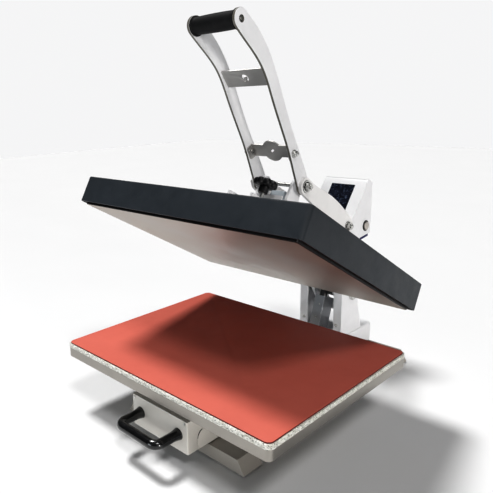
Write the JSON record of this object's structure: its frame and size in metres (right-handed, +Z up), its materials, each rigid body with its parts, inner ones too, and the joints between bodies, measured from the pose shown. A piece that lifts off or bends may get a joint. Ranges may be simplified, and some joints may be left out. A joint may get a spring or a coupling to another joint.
{
  "type": "heat press",
  "caption": "Swing-up heat press with a tilting heated platen on a lever arm, a pull-out lower platen with a silicone pad, and a tilted control box.",
  "frame": {"origin": "middle of the footprint box, on the surface that the rubber feet stand on", "axes": "+X to the machine's right, +Y to the rear, +Z up; the drawer handle faces -Y"},
  "size_m": [0.516, 0.684, 0.7435],
  "materials": {
    "white_paint": "white powder coat, fine orange peel",
    "cream_paint": "warm white powder coat",
    "light_grey_paint": "pale grey powder coat",
    "warm_grey_paint": "warm grey powder coat",
    "anthracite_paint": "satin anthracite powder coat",
    "platen_aluminium": "milled, lightly worn",
    "hot_plate_aluminium": "milled, warm toned",
    "red_silicone": "smooth matt silicone",
    "speckled_felt": "pressed white felt with dark specks",
    "black_rubber": "matt rubber",
    "gloss_black_plastic": "gloss moulding",
    "matt_black_plastic": "fine grained moulding",
    "display_glass": "dark glass",
    "navy_rubber": "matt",
    "grey_steel": "grey finished sheet",
    "zinc_steel": "bright zinc plate",
    "magnet_steel": "blue grey paint",
    "guard_steel": "galvanised sheet",
    "black_steel": "satin black",
    "button_steel": "turned stainless",
    "brass": "machined",
    "glass_wool": "needled fibre blanket",
    "circuit_board": "solder mask"
  },
  "bodies": {
    "base": {"base_beam": "white_paint", "front_foot": "warm_grey_paint", "rear_foot": "warm_grey_paint", "rubber_feet": "black_rubber", "frame_screws": "zinc_steel", "outer_slide_rails": "zinc_steel", "stand_side_plates": "white_paint", "stand_back_plate": "white_paint", "arm_hinge_pin": "zinc_steel", "hinge_spacers": "zinc_steel", "crank_pivot_bolts": "zinc_steel", "strut_bracket": "zinc_steel", "controller_case": "white_paint", "case_rear_cover": "white_paint", "display_glass": "display_glass", "button_bezel": "matt_black_plastic", "case_gasket": "navy_rubber", "power_inlet": "matt_black_plastic", "control_board": "circuit_board"},
    "middle_rails": {"middle_slide_rails": "zinc_steel"},
    "drawer": {"drawer_carriage": "light_grey_paint", "drawer_front": "light_grey_paint", "drawer_handle": "gloss_black_plastic", "drawer_screws": "zinc_steel", "inner_slide_rails": "zinc_steel", "platen_standoffs": "zinc_steel", "lower_platen": "platen_aluminium", "felt_layer": "speckled_felt", "silicone_pad": "red_silicone"},
    "arm": {"arm_plate_left": "white_paint", "arm_plate_right": "white_paint", "carrier_plate": "white_paint", "arm_cross_tubes": "zinc_steel", "arm_bolts": "zinc_steel", "magnet_bracket": "white_paint", "electromagnet": "magnet_steel", "strut_upper_pin": "zinc_steel"},
    "upper_platen": {"platen_cover": "anthracite_paint", "heating_plate": "hot_plate_aluminium", "insulation_blanket": "glass_wool", "seam_gasket": "black_rubber", "pressure_block": "brass", "guide_posts": "zinc_steel"},
    "knob": {"pressure_knob": "matt_black_plastic", "pressure_spindle": "zinc_steel"},
    "lever": {"lever_plate_left": "white_paint", "lever_plate_right": "white_paint", "crank_plates": "cream_paint", "lever_grip": "black_rubber", "grip_bolt": "zinc_steel", "upper_cross_plate": "grey_steel", "keeper_plate": "grey_steel", "lever_fasteners": "zinc_steel", "link_shaft": "zinc_steel"},
    "links": {"connecting_links": "white_paint", "link_bolts": "zinc_steel"},
    "strut_cylinder": {"gas_strut_cylinder": "black_steel", "strut_guard": "guard_steel"},
    "strut_rod": {"gas_strut_rod": "zinc_steel"},
    "button": {"power_button": "button_steel"}
  },
  "joints": [
    {"name": "drawer_slide", "type": "slide", "parent": "base", "child": "drawer", "axis": [0, -1, 0], "range_m": [0, 0.28]},
    {"name": "middle_rail_slide", "type": "slide", "parent": "base", "child": "middle_rails", "axis": [0, -1, 0], "range_m": [0, 0.14]},
    {"name": "arm_close", "type": "hinge", "parent": "base", "child": "arm", "pos_m": [0, 0.2505, 0.165], "axis": [1, 0, 0], "range_deg": [0, 29.2], "stiffness_Nm_per_rad": 70, "springref_deg": -97.4},
    {"name": "lever_swing", "type": "hinge", "parent": "base", "child": "lever", "pos_m": [0, 0.2135, 0.331], "axis": [1, 0, 0], "range_deg": [0, 52.1]},
    {"name": "link_swing", "type": "hinge", "parent": "lever", "child": "links", "pos_m": [0, 0.0575, 0.435], "axis": [1, 0, 0], "range_deg": [-92.43, 0]},
    {"name": "knob_turn", "type": "hinge", "parent": "arm", "child": "knob", "pos_m": [0, -0.01145, 0.40307], "axis": [0, -0.4879, -0.8729], "range_deg": [0, 1234.59]},
    {"name": "pressure_slide", "type": "slide", "parent": "arm", "child": "upper_platen", "axis": [0, 0.4879, 0.8729], "range_m": [0, 0.006]},
    {"name": "strut_swing", "type": "hinge", "parent": "base", "child": "strut_cylinder", "pos_m": [0, 0.1962, 0.0892], "axis": [1, 0, 0], "range_deg": [0, 16.23]},
    {"name": "strut_slide", "type": "slide", "parent": "strut_cylinder", "child": "strut_rod", "axis": [0, 0.3538, 0.9353], "range_m": [-0.01856, 0]},
    {"name": "button_press", "type": "slide", "parent": "base", "child": "button", "axis": [-1, 0, 0], "range_m": [0, 0.002], "stiffness_N_per_m": 600, "springref_m": -0.002}
  ],
  "couplings": [
    {"joint": "middle_rail_slide", "follows": "drawer_slide", "ratio": 0.5},
    {"joint": "lever_swing", "follows": "arm_close", "ratio": 1.7808},
    {"joint": "link_swing", "follows": "arm_close", "ratio": -3.1586},
    {"joint": "strut_swing", "follows": "arm_close", "ratio": 0.55232},
    {"joint": "strut_slide", "follows": "arm_close", "m_per_rad": -0.036212},
    {"joint": "knob_turn", "follows": "pressure_slide", "rad_per_m": 3590.4}
  ]
}
